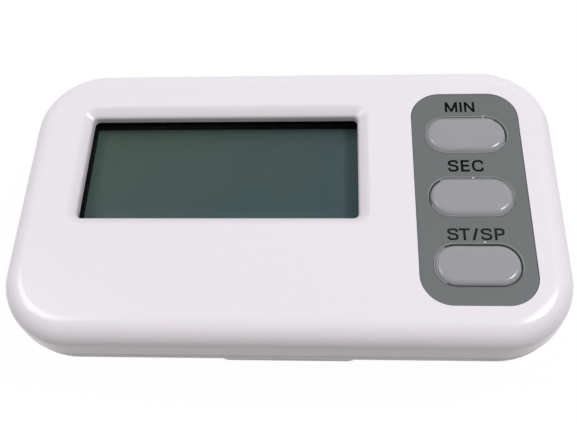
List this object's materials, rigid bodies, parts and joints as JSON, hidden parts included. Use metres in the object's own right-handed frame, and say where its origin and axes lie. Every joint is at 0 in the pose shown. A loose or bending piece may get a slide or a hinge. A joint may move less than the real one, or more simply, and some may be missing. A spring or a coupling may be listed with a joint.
{
  "type": "digital timer",
  "caption": "Small white digital timer that lies on its back, with a recessed display, a grey panel of press keys, a twist-off cell door and a sprung magnetic clip",
  "frame": {"origin": "under the middle of the case, on the plane of the clip's outer face that the timer lies on", "axes": "X runs to the right of the face, Y up the face, Z out of the face"},
  "size_m": [0.0628, 0.0362, 0.0144],
  "materials": {
    "case_white": "satin moulded white",
    "panel_grey": "matte mid grey",
    "key_grey": "satin light grey",
    "window_clear": "clear acrylic sheet",
    "spacer_black": "black foam tape",
    "film_dark": "dark green grey polarising film",
    "lcd_glass": "display glass",
    "film_silver": "silver reflector film",
    "rubber_dark": "carbon rubber",
    "rubber_pale": "pale silicone",
    "board_green": "green circuit board",
    "resin_black": "black resin",
    "component_tan": "tan ceramic chips",
    "screw_steel": "zinc plated",
    "bright_metal": "bright nickel",
    "contact_brass": "plain brass strip",
    "buzzer_ceramic": "silvered ceramic",
    "magnet_dark": "dark ferrite"
  },
  "bodies": {
    "case": {"front_case": "case_white", "display_window": "window_clear", "display_spacer": "spacer_black", "lcd_front_film": "film_dark", "lcd_front_glass": "lcd_glass", "lcd_rear_glass": "lcd_glass", "lcd_rear_film": "film_silver", "zebra_strip": "rubber_dark", "key_panel": "panel_grey", "key_mat": "rubber_pale", "circuit_board": "board_green", "chip_cover": "resin_black", "quartz_crystal": "bright_metal", "board_components": "component_tan", "board_screws": "screw_steel", "buzzer_plate": "contact_brass", "buzzer_ceramic": "buzzer_ceramic", "buzzer_springs": "bright_metal", "cell_can": "bright_metal", "cell_cap": "bright_metal", "positive_contact": "contact_brass", "negative_contact": "contact_brass", "rear_case": "case_white", "case_screws": "screw_steel", "clip_pin": "screw_steel", "clip_spring": "bright_metal"},
    "minute_key": {"minute_key": "key_grey", "minute_contact": "rubber_dark"},
    "second_key": {"second_key": "key_grey", "second_contact": "rubber_dark"},
    "start_stop_key": {"start_stop_key": "key_grey", "start_stop_contact": "rubber_dark"},
    "cell_door": {"cell_door": "case_white"},
    "clip": {"clip": "case_white", "clip_magnet": "magnet_dark"}
  },
  "joints": [
    {"name": "minute_press", "type": "slide", "parent": "case", "child": "minute_key", "axis": [0, 0, -1], "range_m": [0, 0.0008], "stiffness_N_per_m": 600, "springref_m": -0.00005, "deforming": ["key_mat"]},
    {"name": "second_press", "type": "slide", "parent": "case", "child": "second_key", "axis": [0, 0, -1], "range_m": [0, 0.0008], "stiffness_N_per_m": 600, "springref_m": -0.00005, "deforming": ["key_mat"]},
    {"name": "start_stop_press", "type": "slide", "parent": "case", "child": "start_stop_key", "axis": [0, 0, -1], "range_m": [0, 0.0008], "stiffness_N_per_m": 600, "springref_m": -0.00005, "deforming": ["key_mat"]},
    {"name": "door_turn", "type": "hinge", "parent": "case", "child": "cell_door", "pos_m": [-0.0172, 0, 0.003], "axis": [0, 0, -1], "range_deg": [0, 40]},
    {"name": "clip_hinge", "type": "hinge", "parent": "case", "child": "clip", "pos_m": [0, 0.005, 0.0034], "axis": [1, 0, 0], "range_deg": [0, 20], "stiffness_Nm_per_rad": 0.01, "springref_deg": -20.05, "deforming": ["clip_spring"]}
  ]
}
